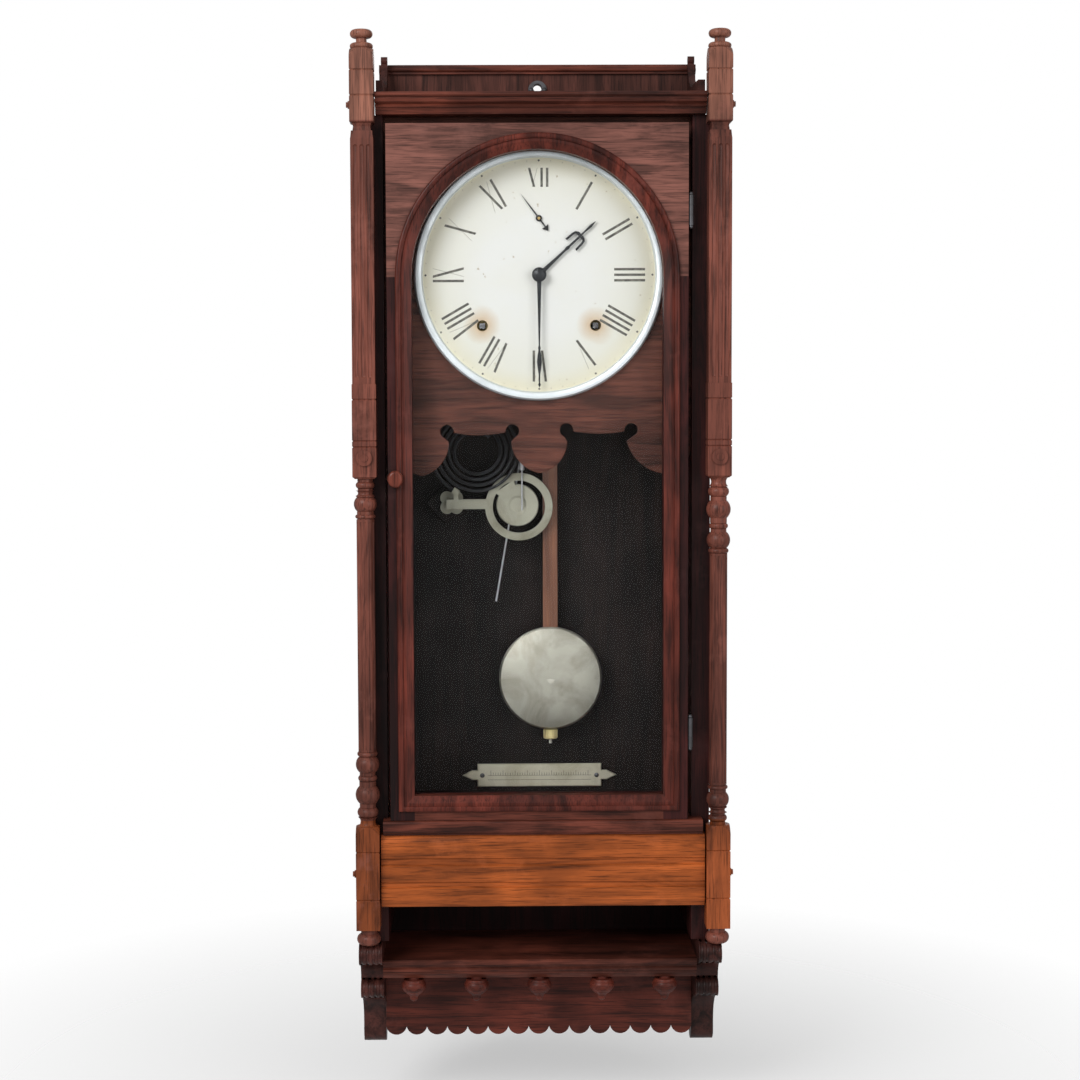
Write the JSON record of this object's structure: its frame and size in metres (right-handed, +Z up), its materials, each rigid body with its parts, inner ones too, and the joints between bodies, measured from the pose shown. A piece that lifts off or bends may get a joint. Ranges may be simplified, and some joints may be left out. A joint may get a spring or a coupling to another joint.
{
  "type": "chiming wall clock",
  "caption": "Spring-driven wall clock in a turned and glazed wooden case, with a coil gong, a wooden-rod pendulum, Roman dial and hinged arched door.",
  "frame": {"origin": "middle of the hanging hole, on the wall plane at the back of the case", "axes": "+X to the viewer's right, +Y into the wall, +Z up"},
  "size_m": [0.3394, 0.1443, 0.9176],
  "materials": {
    "case_wood": "satin",
    "back_wood": "matte",
    "post_wood": "satin",
    "panel_wood": "satin",
    "rod_wood": "satin",
    "brass": "satin",
    "steel": "satin",
    "black_iron": "satin",
    "bracket_metal": "satin",
    "nickel": "satin",
    "enamel": "satin",
    "hand_black": "gloss",
    "knob": "gloss",
    "glass": "gloss"
  },
  "bodies": {
    "root": {"backboard": "back_wood", "side_left": "case_wood", "side_right": "case_wood", "cornice_board": "case_wood", "sill_board": "case_wood", "crest_rail": "case_wood", "gallery_scrolls": "case_wood", "post_left": "post_wood", "post_right": "post_wood", "post_finials": "post_wood", "post_bosses": "post_wood", "base_panel": "panel_wood", "console_shelf": "case_wood", "shelf_drops": "post_wood", "scalloped_apron": "post_wood", "brackets": "case_wood", "hanger_plate": "black_iron", "round_head_screws": "steel", "dial_board": "case_wood", "dial_apron": "case_wood", "beat_scale": "nickel", "hinge_leaves_case": "steel", "dial_plate": "enamel", "dial_ring": "nickel", "front_plate": "brass", "back_plate": "brass", "movement_pillars": "brass", "gong_block": "back_wood", "gong_bracket": "bracket_metal", "gong_coil": "black_iron"},
    "door": {"door_stiles": "case_wood", "door_bottom_rail": "case_wood", "door_head": "case_wood", "door_moulding": "case_wood", "door_glass": "glass", "glass_beads": "case_wood", "hinge_leaves_door": "steel"},
    "latch": {"door_latch": "knob"},
    "minute": {"centre_wheel": "brass", "minute_hand": "hand_black"},
    "hour": {"hour_wheel": "brass", "hour_hand": "hand_black"},
    "seconds": {"escape_wheel": "brass", "seconds_hand": "hand_black"},
    "second": {"second_wheel": "brass"},
    "third": {"third_wheel": "brass"},
    "minute_wheel_body": {"minute_wheel": "brass"},
    "going_spring": {"going_barrel": "brass"},
    "going_winder": {"going_winding_arbor": "steel"},
    "strike_spring": {"strike_barrel": "brass"},
    "strike_winder": {"strike_winding_arbor": "steel"},
    "strike_second": {"strike_wheel": "brass"},
    "fly": {"strike_fly": "brass"},
    "verge_body": {"verge": "steel"},
    "hammer_body": {"hammer": "steel"},
    "trip": {"trip_lever": "steel"},
    "pendulum": {"suspension_spring": "steel", "pendulum_rod": "rod_wood"},
    "bob": {"pendulum_bob": "nickel"},
    "nut": {"rating_nut": "brass"}
  },
  "joints": [
    {"name": "door_hinge", "type": "hinge", "parent": "root", "child": "door", "pos_m": [0.131, -0.131, -0.354], "axis": [0, 0, 1], "range_deg": [0, 110]},
    {"name": "latch_turn", "type": "hinge", "parent": "door", "child": "latch", "pos_m": [-0.1288, -0.125, -0.3574], "axis": [0, 1, 0], "range_deg": [0, 90]},
    {"name": "minute_turn", "type": "hinge", "parent": "root", "child": "minute", "pos_m": [-0.0015, -0.06, -0.178], "axis": [0, 1, 0], "continuous": true},
    {"name": "hour_turn", "type": "hinge", "parent": "root", "child": "hour", "pos_m": [-0.0015, -0.06, -0.178], "axis": [0, 1, 0], "continuous": true},
    {"name": "seconds_turn", "type": "hinge", "parent": "root", "child": "seconds", "pos_m": [-0.0015, -0.06, -0.128], "axis": [0, 1, 0], "continuous": true},
    {"name": "second_turn", "type": "hinge", "parent": "root", "child": "second", "pos_m": [0.0269, -0.06, -0.1867], "axis": [0, 1, 0], "continuous": true},
    {"name": "third_turn", "type": "hinge", "parent": "root", "child": "third", "pos_m": [0.00633, -0.06, -0.15195], "axis": [0, 1, 0], "continuous": true},
    {"name": "minute_wheel_turn", "type": "hinge", "parent": "root", "child": "minute_wheel_body", "pos_m": [-0.0015, -0.06, -0.198], "axis": [0, 1, 0], "continuous": true},
    {"name": "going_barrel_turn", "type": "hinge", "parent": "root", "child": "going_spring", "pos_m": [0.0487, -0.06, -0.2226], "axis": [0, 1, 0], "continuous": true},
    {"name": "going_winding", "type": "hinge", "parent": "root", "child": "going_winder", "pos_m": [0.0487, -0.06, -0.2226], "axis": [0, 1, 0], "continuous": true},
    {"name": "strike_barrel_turn", "type": "hinge", "parent": "root", "child": "strike_spring", "pos_m": [-0.052, -0.06, -0.2226], "axis": [0, 1, 0], "continuous": true},
    {"name": "strike_winding", "type": "hinge", "parent": "root", "child": "strike_winder", "pos_m": [-0.052, -0.06, -0.2226], "axis": [0, 1, 0], "continuous": true},
    {"name": "strike_wheel_turn", "type": "hinge", "parent": "root", "child": "strike_second", "pos_m": [-0.06428, -0.06, -0.18244], "axis": [0, 1, 0], "continuous": true},
    {"name": "fly_turn", "type": "hinge", "parent": "root", "child": "fly", "pos_m": [-0.05412, -0.06, -0.15453], "axis": [0, 1, 0], "continuous": true},
    {"name": "pendulum_swing", "type": "hinge", "parent": "root", "child": "pendulum", "pos_m": [0.01, -0.0315, -0.098], "axis": [0, 1, 0], "range_deg": [-4.5, 4.5], "deforming": ["suspension_spring"]},
    {"name": "verge_swing", "type": "hinge", "parent": "root", "child": "verge_body", "pos_m": [0.01, -0.06, -0.098], "axis": [0, 1, 0], "range_deg": [-4.6, 4.6]},
    {"name": "bob_slide", "type": "slide", "parent": "pendulum", "child": "bob", "axis": [0, 0, 1], "range_m": [-0.006, 0.006]},
    {"name": "nut_turn", "type": "hinge", "parent": "bob", "child": "nut", "pos_m": [0.01, -0.0315, -0.6], "axis": [0, 0, 1], "range_deg": [-2165, 2165]},
    {"name": "hammer_swing", "type": "hinge", "parent": "root", "child": "hammer_body", "pos_m": [-0.012, -0.05, -0.24], "axis": [0, 1, 0], "range_deg": [-8, 0]},
    {"name": "trip_swing", "type": "hinge", "parent": "root", "child": "trip", "pos_m": [-0.0008, -0.05, -0.246], "axis": [0, 1, 0], "range_deg": [0, 6]}
  ],
  "couplings": [
    {"joint": "hour_turn", "follows": "minute_turn", "ratio": 0.083333},
    {"joint": "minute_wheel_turn", "follows": "minute_turn", "ratio": -0.33333},
    {"joint": "second_turn", "follows": "minute_turn", "ratio": -0.22222},
    {"joint": "going_barrel_turn", "follows": "minute_turn", "ratio": 0.037037},
    {"joint": "third_turn", "follows": "minute_turn", "ratio": -7.5},
    {"joint": "seconds_turn", "follows": "minute_turn", "ratio": 60},
    {"joint": "strike_wheel_turn", "follows": "strike_barrel_turn", "ratio": -6},
    {"joint": "fly_turn", "follows": "strike_barrel_turn", "ratio": 27},
    {"joint": "verge_swing", "follows": "pendulum_swing", "ratio": 1},
    {"joint": "nut_turn", "follows": "bob_slide", "rad_per_m": 6283.2}
  ]
}
